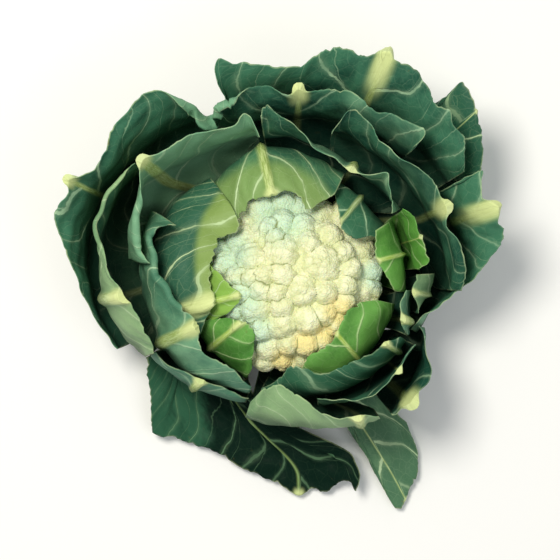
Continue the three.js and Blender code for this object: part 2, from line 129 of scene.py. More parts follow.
leaf_plan(
    "leaf_06_upper", "sunny", foot=(103, 43, 24), belly=80, rib=5,
    rim=[(64, 84, 113, 103), (71, 72, 115, 105), (78, 66, 117, 108), (86, 76, 112, 112),
         (94, 80, 110, 116), (103, 79, 111, 118), (112, 79, 111, 116), (118, 82, 109, 113),
         (123, 74, 111, 110), (128, 71, 110, 108), (133, 74, 106, 107)],
)
leaf_plan(
    "leaf_07_left", "sunny", foot=(150, 36, 26), belly=78, rib=8,
    rim=[(128, 90, 110, 114), (131, 72, 119, 115), (138, 67, 118, 118), (146, 72, 114, 121),
         (154, 74, 111, 123), (162, 74, 112, 123), (172, 73, 114, 121), (184, 72, 116, 118),
         (195, 71, 118, 115), (203, 80, 112, 112), (211, 93, 106, 110)],
)
leaf_plan(
    "leaf_08_lower", "middle", foot=(272, 36, 26), belly=78, rib=8,
    rim=[(254, 93, 98, 102), (262, 82, 106, 101), (268, 70, 114, 100), (277, 73, 114, 100),
         (288, 80, 114, 101), (299, 83, 117, 103), (310, 86, 121, 106), (319, 91, 126, 107),
         (327, 94, 130, 108), (333, 103, 124, 109)],
)
leaf_plan(
    "leaf_09_right_upright", "bright", foot=(22, 36, 16), belly=78, rib=2.6,
    rim=[(6, 110, 112, 105), (9, 119, 117, 105), (15, 117, 124, 105), (22, 115, 130, 106),
         (28, 117, 131, 106), (33, 111, 130, 107)],
)
leaf_plan(
    "leaf_10_upper_right", "blue", foot=(74, 36, 26), belly=76, rib=5,
    rim=[(34, 104, 122, 112), (39, 109, 128, 111), (44, 116, 133, 110), (49, 124, 136, 110),
         (54, 112, 139, 110), (62, 107, 141, 112), (70, 109, 139, 115), (78, 114, 137, 119),
         (86, 125, 135, 122), (93, 138, 135, 125), (98, 155, 137, 126), (101, 144, 131, 126)],
)
leaf_plan(
    "leaf_11_left_hooded", "blue", foot=(197, 31, 26), belly=75, rib=7,
    rim=[(153, 110, 120, 136), (157, 121, 125, 135), (163, 124, 128, 134), (171, 118, 130, 132),
         (179, 110, 131, 130), (187, 100, 132, 128), (196, 92, 134, 126), (205, 88, 136, 124),
         (212, 91, 133, 122), (219, 97, 128, 120), (226, 92, 127, 115), (233, 88, 125, 110),
         (241, 91, 120, 106), (249, 95, 113, 103)],
)
leaf_plan(
    "leaf_12_right_folded", "blue", foot=(336, 38, 20), belly=76, rib=2,
    rim=[(335, 106, 104, 108), (337, 102, 118, 108), (341, 98, 128, 106), (345, 96, 126, 104),
         (350, 93, 123, 103), (356, 97, 116, 102)],
)
leaf_plan(
    "leaf_13_lower_right_cup", "blue", foot=(308, 28, 18), belly=74, rib=5.6,
    rim=[(282, 102, 106, 108), (286, 104, 111, 110), (293, 110, 117, 112), (300, 115, 121, 114),
         (308, 117, 125, 115), (316, 118, 128, 116), (323, 116, 130, 117), (329, 117, 126, 118),
         (333, 119, 120, 119)],
)
leaf_plan(
    "leaf_14_lower_wrapped", "grey", foot=(258, 28, 28), belly=72, rib=9,
    rim=[(251, 108, 108, 123), (254, 96, 117, 124), (258, 87, 122, 124), (263, 88, 123, 124),
         (268, 92, 124, 124), (273, 97, 125, 125), (278, 105, 126, 127), (283, 114, 128, 129),
         (289, 122, 129, 132), (296, 127, 131, 135), (300, 130, 126, 137), (303, 134, 118, 139)],
)
leaf_plan(
    "leaf_15_upper_left", "blue", foot=(122, 28, 28), belly=74, rib=7,
    rim=[(103, 126, 126, 130), (104, 141, 134, 130), (106, 150, 138, 131), (111, 144, 139, 132),
         (120, 147, 142, 134), (128, 155, 146, 137), (136, 159, 149, 143), (141, 165, 152, 147),
         (146, 158, 149, 152), (151, 150, 147, 150), (157, 147, 144, 148), (163, 141, 141, 146),
         (168, 133, 137, 143), (172, 121, 130, 141)],
)
leaf_plan(
    "leaf_16_right_lobe", "grey", foot=(-8, 28, 20), belly=74, rib=2,
    rim=[(-14, 110, 106, 110), (-10, 106, 114, 113), (-5, 103, 119, 117), (0, 102, 120, 121),
         (3.5, 104, 119, 123)],
)
leaf_plan(
    "leaf_17_right_wide", "blue", foot=(48, 27, 26), belly=73, rib=5,
    rim=[(-3, 145, 116, 133), (3, 150, 124, 134), (9, 149, 129, 134), (15, 145, 134, 133),
         (20, 141, 139, 132), (26, 147, 143, 131), (32, 147, 141, 131), (38, 146, 139, 131),
         (45, 142, 139, 131), (52, 139, 140, 131), (59, 142, 142, 131), (64, 149, 144, 132),
         (70, 156, 146, 133), (73, 144, 142, 134), (75, 130, 132, 135)],
)
leaf_plan(
    "leaf_18_lower_left_low", "blue", foot=(227, 20, 20), belly=66, rib=3,
    rim=[(207, 129, 100, 138), (213, 125, 104, 134), (220, 119, 106, 129), (227, 113, 106, 124),
         (235, 108, 102, 119), (242, 105, 96, 115), (249, 103, 90, 111)],
)
leaf_plan(
    "leaf_19_left_folded", "grey", foot=(176, 20, 26), belly=72, rib=7,
    rim=[(143, 167, 134, 160), (148, 173, 138, 164), (155, 177, 141, 167), (163, 178, 143, 168),
         (169, 168, 141, 167), (175, 157, 140, 166), (180, 149, 142, 165), (185, 144, 145, 162),
         (191, 134, 143, 158), (197, 132, 139, 152), (203, 130, 132, 146), (207, 131, 121, 142)],
)
leaf_plan(
    "leaf_20_top_inner", "blue", foot=(88, 20, 28), belly=72, rib=8,
    rim=[(48, 158, 130, 144), (49, 171, 135, 144), (56, 170, 137, 144), (62, 165, 138, 143),
         (68, 167, 141, 142), (74, 170, 143, 142), (80, 167, 144, 142), (85, 163, 148, 142),
         (88, 166, 152, 142), (92, 162, 148, 142), (98, 168, 144, 142), (104, 173, 142, 142),
         (110, 178, 140, 143), (114, 174, 136, 144), (116, 160, 130, 145)],
)
leaf_plan(
    "leaf_21_right_cut", "blue", foot=(6, 20, 26), belly=70, rib=9,
    rim=[(-22, 109, 88, 116), (-17, 114, 93, 119), (-13, 122, 96, 122), (-8, 131, 100, 129),
         (-3, 143, 104, 138), (2, 157, 109, 144), (7, 170, 114, 148), (12, 186, 122, 149),
         (16, 184, 128, 149), (20.5, 187, 134, 148), (24, 177, 131, 147), (28, 183, 133, 146),
         (30.5, 188, 131, 146), (31.5, 172, 124, 146)],
)
leaf_plan(
    "leaf_22_lower_right_cut", "blue", foot=(309, 20, 26), belly=66, rib=2,
    rim=[(307, 140, 108, 141), (310, 142, 116, 139), (314.5, 145, 124, 136), (319, 141, 123, 134),
         (324, 144, 121, 132), (328, 141, 118, 130), (332, 132, 114, 128), (337, 121, 109, 124),
         (341, 114, 102, 121)],
)
leaf_plan(
    "leaf_23_top_outer", "blue", foot=(60, 12, 30), belly=66, rib=9,
    rim=[(32.6, 174, 112, 160), (36, 182, 122, 160), (39.5, 190, 130, 160), (43.8, 190, 133, 160),
         (47.2, 200, 136, 160), (50.4, 197, 138, 159), (54.6, 202, 140, 159), (60, 209, 144, 158),
         (64.8, 208, 148, 158), (67.3, 214, 153, 158), (71.5, 204, 149, 158), (73.6, 207, 146, 157),
         (79.6, 204, 142, 157), (84, 195, 139, 157), (87.5, 185, 137, 157), (95.8, 186, 135, 157),
         (102, 191, 132, 157), (108.5, 200, 128, 158), (110, 182, 120, 158)],
)
leaf_plan(
    "leaf_24_left_outer", "blue", foot=(146, 12, 30), belly=62, rib=10,
    rim=[(113, 157, 106, 157), (117.5, 160, 116, 158), (118.5, 178, 124, 160), (122.3, 194, 130, 163),
         (127, 204, 133, 166), (131.8, 203, 135, 169), (139.7, 201, 137, 172), (144, 197, 138, 174),
         (150, 195, 141, 177), (153, 202, 145, 179), (155.5, 211, 147, 180), (158.5, 204, 141, 180),
         (163.7, 211, 133, 181), (169, 201, 123, 180), (174.3, 190, 114, 178), (179.5, 181, 105, 175),
         (185.7, 175, 95, 172), (195.5, 164, 77, 165), (201, 158, 68, 160)],
)
leaf_plan(
    "leaf_25_top_right_pointed", "grey", foot=(22, 8, 22), belly=52, rib=4,
    rim=[(28, 180, 80, 166), (30.5, 187, 90, 167), (34.6, 198, 100, 168), (38.5, 206, 105, 169),
         (42.8, 214, 109, 170), (49.2, 225, 112, 171), (50.3, 209, 104, 172), (51, 196, 92, 172)],
)
leaf_plan(
    "leaf_26_lower_right_hanging", "grey", foot=(292, 8, 22), rib=3.6,
    rim=[(291, 138, 15, 8), (293.3, 166, 13, 8), (293.8, 188, 10, 8), (295, 217, 6.5, 8),
         (299.8, 206, 8, 8), (304.7, 194, 9, 8), (307.9, 172, 13, 8), (308.5, 150, 17, 8)],
)
leaf_plan(
    "leaf_27_lower_left_lying", "dark", foot=(190, 8, 32), rib=11,
    rim=[(207.3, 140, 20, 4), (213, 147, 19, 4), (219, 155, 18, 4), (224, 167, 16, 4),
         (227.6, 175, 14, 4), (233, 167, 13, 4), (238.6, 163, 12, 4), (245.7, 159, 11, 4),
         (254.5, 164, 10, 4), (261, 168, 9, 4), (266.6, 173, 8, 4), (272, 182, 8, 4), (276, 177, 9, 4),
         (279.2, 182, 10, 4), (283, 176, 15, 4), (286, 178, 21, 4), (287.4, 187, 24, 4),
         (289.4, 175, 28, 4)],
)
print(len(LEAVES), "leaf plans")

# %% [markdown]
# ## A smooth sheet from a plan
#
# The rim list is a handful of points. A smooth curve through them gives the rim anywhere,
# and the sheet runs from the stem, out to the belly, and up to that rim.

# %% The sheet's place


def rim_at(rim, place):
    last = len(rim) - 1
    i = np.minimum(np.floor(place).astype(int), last - 1)
    t = (place - i)[..., None]
    p0, p1, p2, p3 = (rim[np.clip(i + k, 0, last)] for k in (-1, 0, 1, 2))
    rise = p2 - p1
    before = np.where((i > 0)[..., None], (p2 - p0) / 2, rise)
    after = np.where((i + 2 <= last)[..., None], (p3 - p1) / 2, rise)
    return p1 + rise * t * t * (3 - 2 * t) + t * t * (t - 1) * after + t * (t - 1) ** 2 * before


def sheet_point(plan, along, side):
    rim, rib = plan["rim"], plan["rib"]
    foot_azimuth, foot_height, foot_width = plan["foot"]
    place = rib + side * np.where(side < 0, rib, len(rim) - 1 - rib)
    azimuth, seen_radius, height, belly = np.moveaxis(rim_at(rim, place), -1, 0)
    radius = seen_radius * true_share(height)
    if plan["belly"] is None:
        r = mix(FOOT_RADIUS, radius, along)
        z = mix(foot_height, height, along**2) + belly * np.sin(math.pi * along)
        opened = ease(0, LYING_OPEN_AT, along)
    else:
        turn = np.minimum(along / BELLY_AT, 1) * math.pi / 2
        t = np.maximum(along - BELLY_AT, 0) / (1 - BELLY_AT)
        low = along < BELLY_AT
        wall = plan["belly"]
        r = np.where(low, mix(FOOT_RADIUS, belly, np.sin(turn)), mix(belly, radius, t * t))
        bowl = wall - (wall - foot_height) * np.cos(turn)
        z = np.where(low, bowl, mix(wall, height, t * (1.25 - 0.25 * t)))
        opened = ease(0, OPEN_AT, along)
    angle = mix(math.radians(foot_azimuth) + side * foot_width / 2 / r, np.radians(azimuth), opened)
    return np.stack([r * np.cos(angle), r * np.sin(angle), z], -1)


def sheet_normal(plan, along, side):
    step = 0.01
    a, s = np.clip(along, step, 1 - step), np.clip(side, step - 1, 1 - step)
    lengthwise = sheet_point(plan, a + step, s) - sheet_point(plan, a - step, s)
    across = sheet_point(plan, a, s + step) - sheet_point(plan, a, s - step)
    normal = np.cross(across, lengthwise)
    return normal / np.linalg.norm(normal, axis=-1, keepdims=True)


# %% [markdown]
# ## Unevenness that repeats on every run
#
# Nothing grown is even. A few waves of different length and direction, added up, give a
# gentle unevenness. The directions come from a numbered generator, so the same leaf comes
# out on every run.

# %% Gentle unevenness


def waves(x, y, size, seed, count=7):
    """Uneven values of about -1 to 1 over x and y, in patches of about this size."""
    chance = np.random.default_rng(seed)
    total = np.zeros(np.broadcast(x, y).shape)
    for _ in range(count):
        angle, phase = chance.uniform(0, 2 * math.pi, 2)
        pace = 2 * math.pi / (size * chance.uniform(0.7, 1.6))
        total += np.sin(pace * (x * math.cos(angle) + y * math.sin(angle)) + phase)
    return total / math.sqrt(count)


def torn(place, seed, reach):
    """How far the rim is torn back, in millimetres, along its length."""
    chance = np.random.default_rng(seed)
    cut = 1.0 + 0.7 * waves(place, 0 * place, 7, seed + 1) + 0.5 * waves(place, 0 * place, 3.5, seed + 2)
    for _ in range(int(np.ptp(place) / 20) + 1):
        centre = chance.uniform(place.min(), place.max())
        depth, width = chance.uniform(0.5, 1), chance.uniform(1.6, 4)
        cut += reach * depth * np.exp(-np.abs(place - centre) / width)
    return np.maximum(cut, 0)


# %% [markdown]
# ## Writing a mesh
#
# A leaf or the curd is far too fine to place by hand, so each is written as lists of points
# and faces. Values that belong to the surface, such as the distance to the midrib, are kept
# on the points as attributes, and the finishes read them later.

# %% Mesh writer


def write_piece(name, points, faces, marks, finish, node, sharp_from=None):
    mesh = bpy.data.meshes.new(name)
    mesh.from_pydata((points * MM).tolist(), [], faces)
    for mark, values in marks.items():
        kind = "FLOAT_VECTOR" if values.ndim == 2 else "FLOAT"
        field = "vector" if values.ndim == 2 else "value"
        layer = mesh.attributes.new(mark, kind, "POINT")
        layer.data.foreach_set(field, values.astype(np.float32).ravel())
    smooth = np.arange(len(faces)) < (sharp_from or len(faces))
    mesh.polygons.foreach_set("use_smooth", smooth)
    mesh.materials.append(finish)
    piece = bpy.data.objects.new(name, mesh)
    bpy.context.collection.objects.link(piece)
    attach(piece, "root")
    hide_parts(node)
    return piece


# %% [markdown]
# ## Node helpers for the finishes
#
# Every finish is a small network of nodes. These helpers add one node each, in the network
# that its inputs are in, and join it up, so that a finish reads like a recipe: take this
# mark, soften it, blend two greens by it.

# %% Node helpers


def srgb(code):
    """A screen colour such as 6f8f6a as the linear colour that a shader wants."""
    parts = [int(code[k : k + 2], 16) / 255 for k in (0, 2, 4)]
    return [p / 12.92 if p <= 0.04045 else ((p + 0.055) / 1.055) ** 2.4 for p in parts] + [1]


def connect(node, **inputs):
    """Sets inputs of a node, or joins them up, by number as in i0 or by name as in Base_Color."""
    for key, value in inputs.items():
        socket = node.inputs[int(key[1:]) if key[1:].isdigit() else key.replace("_", " ")]
        if isinstance(value, bpy.types.NodeSocket):
            node.id_data.links.new(value, socket)
        else:
            socket.default_value = value
    return node


def add_node(kind, settings=None, tree=None, **inputs):
    """Adds a node to this network, or else to the one that its first joined input is in."""
    tree = tree or next(v.id_data for v in inputs.values() if isinstance(v, bpy.types.NodeSocket))
    node = tree.nodes.new("ShaderNode" + kind)
    for key, value in (settings or {}).items():
        setattr(node, key, value)
    return connect(node, **inputs)


def mark_value(tree, name, vector=False):
    return add_node("Attribute", {"attribute_name": name}, tree).outputs["Vector" if vector else "Fac"]


def calc(operation, a, b=0.0, c=0.0):
    return add_node("Math", {"operation": operation}, i0=a, i1=b, i2=c).outputs[0]


def times(a, b):
    return calc("MULTIPLY", a, b)


def plus(a, b):
    return calc("ADD", a, b)


def less(a, b):
    return calc("SUBTRACT", a, b)


def larger(a, b):
    return calc("MAXIMUM", a, b)


def either_way(value, most):
    """A value from 0 to 1 turned into one from minus the most to the most."""
    return calc("MULTIPLY_ADD", value, 2 * most, -most)


def soften(value, low, high, start=0.0, end=1.0):
    ends = dict(From_Min=low, From_Max=high, To_Min=start, To_Max=end)
    return add_node("MapRange", {"interpolation_type": "SMOOTHSTEP"}, Value=value, **ends).outputs[0]


def patches(place, scale, detail=3.0, roughness=0.55, output="Fac"):
    noise = add_node("TexNoise", Vector=place, Scale=scale, Detail=detail, Roughness=roughness)
    return noise.outputs[output]


def blend(share, a, b):
    return add_node("Mix", {"data_type": "RGBA"}, i0=share, i6=a, i7=b).outputs[2]


def tint(colour, share, code):
    return blend(share, colour, srgb(code))


def flattened(place):
    """A place in the ground plan, with its height left out."""
    return add_node("VectorMath", {"operation": "MULTIPLY"}, i0=place, i1=(1, 1, 0)).outputs[0]


def start_finish(name):
    finish = bpy.data.materials.new(name)
    finish.use_nodes = True
    return finish, finish.node_tree, finish.node_tree.nodes["Principled BSDF"]


def relief(shader, height, distance):
    bump = add_node("Bump", Strength=1.0, Distance=distance, Height=height)
    connect(shader, Normal=bump.outputs[0])


# %% [markdown]
# ## Leaf finishes
#
# The upper face of a cauliflower leaf is a waxy blue-green with pale veins sunk into it.
# The lower face is a paler grey-green, with the veins raised. The torn rim shows as a thin
# pale line, and the midrib is almost white, cream and stringy where the knife cut it. All
# of it could be one picture laid over the leaf, but the marks kept on the sheet give every
# leaf its own veins at the right size, so each finish is built from those marks.

# %% Veins
VEIN_STEP = 44.0
VEIN_DRIFT = 0.2
VEIN_KINKS = 0.06
NET_BEND = 0.18


def vein_lines(tree, place):
    """Bright along each side vein and its fork, and a faint glow around each side vein."""
    reach = mark_value(tree, "reach")
    drift = either_way(patches(place, 0.16, 1.0), VEIN_DRIFT)
    kinks = either_way(patches(place, 1.1, 2.0), VEIN_KINKS)
    number = plus(plus(mark_value(tree, "vein"), drift), kinks)
    nearest = calc("FLOOR", plus(number, 0.5))
    luck = add_node("TexWhiteNoise", {"noise_dimensions": "1D"}, W=nearest).outputs["Value"]
    away = times(calc("PINGPONG", number, 0.5), VEIN_STEP)
    half_width = soften(reach, 0, 90, 1.3, 0.45)
    main = soften(less(away, half_width), 0.0, 0.8, 1.0, 0.0)
    main = times(main, soften(luck, 0.1, 0.7, 0.5, 1.0))
    parting = soften(reach, 18, 80, 0.0, 0.5)
    gap = calc("ABSOLUTE", less(calc("FRACT", number), parting))
    fork = soften(times(gap, VEIN_STEP), 0.1, 0.9, 1.0, 0.0)
    fork = times(fork, soften(reach, 18, 30, 0.0, 0.5))
    fading = soften(patches(place, 0.4, 1.0), 0.35, 0.6, 0.45, 1.0)
    glow = soften(away, 0.0, 6.0, 1.0, 0.0)
    return times(larger(main, fork), fading), glow


def vein_net(place):
    """The net of small veins between the side veins: its wide cells, then its small ones."""
    bend = patches(place, 1.6, 2.0, 0.5, "Color")
    bent = add_node("Mix", {"data_type": "VECTOR"}, i0=NET_BEND, i4=place, i5=bend).outputs[1]
    nets = []
    for scale, width in ((0.95, 0.035), (2.6, 0.06)):
        cells = add_node("TexVoronoi", {"feature": "DISTANCE_TO_EDGE"}, Vector=bent, Scale=scale)
        nets.append(soften(cells.outputs["Distance"], 0.0, width, 1.0, 0.0))
    return nets


# %% Leaf finish recipe
CUT_CREAM = "d9e39f"
RIM_PALE = "bccb9a"
SPOT_BROWN = "6d6238"


def midrib_share(tree, underside):
    """How much of the midrib shows: its crest above, all of it below, and the knife's cut."""
    swelling = mark_value(tree, "midrib")
    crest = times(calc("POWER", swelling, 3.0), 0.75)
    shown = larger(crest, times(underside, swelling))
    return larger(shown, times(mark_value(tree, "cut"), 0.8))


def worn_rim(tree, place, fine, colour):
    """The pale line of the torn rim, broken here and there, and brown spots near it."""
    rim = mark_value(tree, "rim")
    edge = soften(plus(rim, times(fine, 1.2)), 0.9, 2.0, 1.0, 0.0)
    broken = soften(patches(place, 0.5, 3.0), 0.38, 0.68, 0.0, 0.55)
    colour = tint(colour, times(edge, broken), RIM_PALE)
    spots = soften(patches(place, 1.1, 4.0), 0.66, 0.74, 0.0, 0.55)
    return tint(colour, times(spots, soften(rim, 2.0, 9.0, 1.0, 0.12)), SPOT_BROWN)


def leaf_finish(name, upper, lower, vein, rib, yellow, painted_shade_colour, vein_share=0.85, net_share=0.09, gloss=0.2):
    finish, tree, shader = start_finish(name)
    place = mark_value(tree, "blade", vector=True)
    underside = mark_value(tree, "underside")
    fine = patches(place, 2.4, 5.0, 0.65)
    uneven = plus(times(patches(place, 0.22, 2.0), 0.75), times(fine, 0.25))
    # Some leaves' tone carries painted light, and some painted shadow.
    tone_and_painted_light = soften(plus(uneven, mark_value(tree, "tone_and_painted_light")), 0.35, 0.65)
    top, under = (blend(tone_and_painted_light, srgb(dark), srgb(light)) for dark, light in (upper, lower))
    # The yellow tint here is painted warm sunlight.
    colour = tint(blend(underside, top, under), mark_value(tree, "painted_sunlight"), yellow)
    veins, glow = vein_lines(tree, place)
    wide_net, small_net = vein_net(place)
    nets = (small_net, net_share / 2), (wide_net, net_share)
    for lines, share in (*nets, (glow, 0.15), (veins, vein_share)):
        colour = tint(colour, times(lines, share), vein)
    midrib = midrib_share(tree, underside)
    drawn = add_node("Mapping", Vector=place, Scale=(5.0, 0.5, 1.0)).outputs[0]
    strings = patches(drawn, 2.0, 4.0, 0.7)
    stringy = blend(soften(strings, 0.35, 0.65), srgb(rib), srgb(yellow))
    colour = blend(soften(midrib, 0.12, 0.75, 0.0, 0.9), colour, stringy)
    colour = tint(colour, soften(mark_value(tree, "cut"), 0.15, 0.9, 0.0, 0.8), CUT_CREAM)
    # Painted shade: the blade is darkened toward its foot, deep in the bowl, by the depth mark.
    colour = blend(mark_value(tree, "depth"), colour, tint(colour, 0.72, painted_shade_colour))
    wax = plus(calc("MULTIPLY_ADD", fine, 0.22, 0.36), times(underside, 0.12))
    ridges = times(plus(veins, times(wide_net, 0.22)), either_way(underside, 1.0))
    height = plus(ridges, times(fine, 0.5))
    relief(shader, plus(height, times(times(strings, midrib), 0.8)), 0.0005)
    colour = worn_rim(tree, place, fine, colour)
    connect(shader, Base_Color=colour, Roughness=wax, Specular_IOR_Level=gloss)
    print("finish", name)
    return finish


# %% The six leaf finishes
SLOTS = {
    "bright": "leaf_bright_green",
    "sunny": "leaf_yellow_green",
    "middle": "leaf_mid_green",
    "blue": "leaf_blue_green",
    "grey": "leaf_grey_green",
    "dark": "leaf_dark_green",
}
# The last colour of each finish is the painted shade laid deep in the bowl.
FINISHES = {
    "bright": leaf_finish(
        "young_leaf_bright_green", ("2c6824", "5c9a40"), ("457d34", "69a44c"), "b6d694", "c8de92", "a9c552",
        "1a4512"),
    "sunny": leaf_finish(
        "sunlit_leaf_yellow_green", ("3f6b44", "648a52"), ("31614a", "558a62"), "c6deab", "cfdf98", "93ac56",
        "0d2d24"),
    "middle": leaf_finish(
        "inner_leaf_mid_green", ("23543a", "437a56"), ("36694d", "5c8d6b"), "a9cba2", "c6d9a4", "94b05c",
        "0a251b"),
    "blue": leaf_finish(
        "outer_leaf_blue_green", ("1d4a3b", "3f7459"), ("4a7c62", "71a17d"), "a9cba4", "c2d892", "98ad57",
        "061a15", gloss=0.14),
    "grey": leaf_finish(
        "outer_leaf_grey_green", ("2b5a45", "52835f"), ("688e64", "8cae7c"), "bcd6a8", "ccdfa2", "9bb069",
        "091f18"),
    "dark": leaf_finish(
        "old_leaf_dark_green", ("0a2118", "2c5740"), ("3c5e42", "5c8158"), "6f966f", "86a56d", "7d9250",
        "020e0a", vein_share=0.6, net_share=0.03, gloss=0.04),
}

# %% [markdown]
# ## Growing a leaf
#
# The sheet is sampled about every two millimetres. The blade bulges a little between its
# side veins and waves towards its rim, and the rim is torn back unevenly. The midrib is a
# rounded swelling, mostly on the underside, that ends in the knife's cut. Both faces are
# written with a thin edge between them, so the leaf is a closed body with a real thickness.

# %% Grids of points


def grid_quads(at):
    return np.stack([at[:-1, :-1], at[:-1, 1:], at[1:, 1:], at[1:, :-1]], -1).reshape(-1, 4)


def grid_border(at):
    """The points all round a grid, in order."""
    return np.concatenate([at[0, :-1], at[:-1, -1], at[-1, :0:-1], at[:0:-1, 0]])


def lengths(points, axis):
    """Distance walked over the sheet, from its start, along one direction."""
    steps = np.linalg.norm(np.diff(points, axis=axis), axis=-1)
    pad = [(0, 0), (0, 0)]
    pad[axis] = (1, 0)
    return np.pad(np.cumsum(steps, axis=axis), pad)


def grid_normals(sheet):
    normal = np.cross(np.gradient(sheet, axis=1), np.gradient(sheet, axis=0))
    return normal / np.maximum(np.linalg.norm(normal, axis=-1, keepdims=True), 1e-9)


# %% The blade's grid and its torn rim
SAMPLE = 2.3
ROUGH_MIDDLE = 30


def leaf_grid(plan):
    """Places along and across the sheet, spaced evenly in millimetres."""
    rough_side, rough_along = np.linspace(-1, 1, 2 * ROUGH_MIDDLE + 1), np.linspace(0, 1, 31)
    rough = sheet_point(plan, rough_along[:, None], rough_side[None, :])
    widths = lengths(rough, 1)[-8:]
    left = widths[:, ROUGH_MIDDLE].max()
    right = (widths[:, -1] - widths[:, ROUGH_MIDDLE]).max()
    columns = [int(np.clip(w / SAMPLE, 8, 70)) for w in (left, right)]
    side = np.concatenate([np.linspace(-1, 0, columns[0] + 1), np.linspace(0, 1, columns[1] + 1)[1:]])
    rows = int(np.clip(lengths(rough, 0)[-1].max() / SAMPLE, 34, 76))
    return np.linspace(0, 1, rows) ** 0.85, side, columns[0]


def trimmed_grid(plan, seed, tear, beyond):
    """The grid with its rim torn back, the walk along that rim, and the rim's azimuth."""
    along, side, middle = leaf_grid(plan)
    rim_line = sheet_point(plan, np.ones_like(side), side)
    rim_walk = lengths(rim_line[None], 1)[0]
    rim_walk -= rim_walk[middle]
    near_rib = np.exp(-((rim_walk / 9) ** 2))
    knife = near_rib * 0.8 * waves(rim_walk, 0 * rim_walk, 3, seed + 3)
    cut = torn(rim_walk, seed, tear) * (1 - near_rib) - knife - beyond
    tall = lengths(sheet_point(plan, along[:, None], side[None, :]), 0)[-1]
    along = along[:, None] * (1 - cut / tall)[None, :]
    azimuth = np.degrees(np.arctan2(rim_line[:, 1], rim_line[:, 0]))
    azimuth = np.where(azimuth < -30, azimuth + 360, azimuth)
    return along, np.broadcast_to(side[None, :], along.shape), middle, rim_walk, azimuth


# %% The blade's shape
RIB_DEPTH = (6.5, 5.0)
RIB_HALF_WIDTH = (10.0, 6.5)


def vein_number(across, up, seed, sparse):
    """A count of the side veins from the foot up, which is a whole number on each vein."""
    reach = np.abs(across)
    count = (up - reach * 0.7 - reach**2 / 300) / (VEIN_STEP * sparse)
    count = count + np.where(across > 0, 0.45, 0.0) + 0.1 * seed
    return count + 0.22 * waves(across, up, 70, seed + 4, 4) * ease(0, 30, reach)


def blade_lift(along, across, up, rim, rim_walk, vein, seed, ruffle):
    """How far the blade bulges between its veins and waves near its rim, in millimetres."""
    reach = np.abs(across)
    inland = ease(5, 24, reach) * ease(0, 14, rim) * ease(0.15, 0.45, along)
    lift = -0.9 * np.sin(math.pi * vein) ** 2 * inland
    walk = rim_walk[None, :] * np.ones_like(along)
    wave = waves(walk, 0.35 * up, 42, seed + 5, 4) + 0.4 * waves(walk, up, 19, seed + 6, 4)
    lift = lift + ruffle * wave * ease(0.5, 1, along) * ease(0, 12, reach)
    return lift + 0.5 * waves(across, up, 30, seed + 7) * ease(0.1, 0.5, along)


def midrib_swelling(plan, along, across, stout):
    """The midrib's share at each place, 1 on its crest, and its depth in millimetres."""
    reach = np.abs(across)
    half = mix(RIB_HALF_WIDTH[0], RIB_HALF_WIDTH[1] * stout, ease(0, 0.6, along))
    room = np.maximum(np.where(across < 0, -across[:, :1], across[:, -1:]), 1)
    half = np.minimum(np.minimum(half, plan["foot"][2] * 0.4 + 30 * along), 0.75 * room)
    share = np.where(reach < half, 0.5 + 0.5 * np.cos(math.pi * np.minimum(reach / half, 1)), 0) ** 0.8
    return share, mix(RIB_DEPTH[0], RIB_DEPTH[1] * math.sqrt(stout), along) * share


def roll_rim(sheet, rim_gap, azimuth, rolls):
    """Rolls the rim in towards the curd over a range of azimuths."""
    for start, end, width, turn in rolls:
        amount = ease(start - 3, start + 3, azimuth) * (1 - ease(end - 3, end + 3, azimuth))
        radius = width / math.radians(turn)
        past = np.maximum(width * amount - rim_gap, 0)
        upward = np.gradient(sheet, axis=0)
        upward /= np.linalg.norm(upward, axis=-1, keepdims=True)
        inward = -grid_normals(sheet)
        turned = past / radius
        sheet = sheet + upward * (radius * np.sin(turned) - past)[..., None]
        sheet = sheet + inward * (radius * (1 - np.cos(turned)))[..., None]
    return sheet


# %% Leaf maker
BLADE_THICKNESS = 0.9
RIM_THICKNESS = 0.6


def spread(value, sheet):
    """A value that is the same all over, or that a rule gives for each place on the sheet."""
    return np.zeros(sheet.shape[:2]) + (value(sheet) if callable(value) else value)


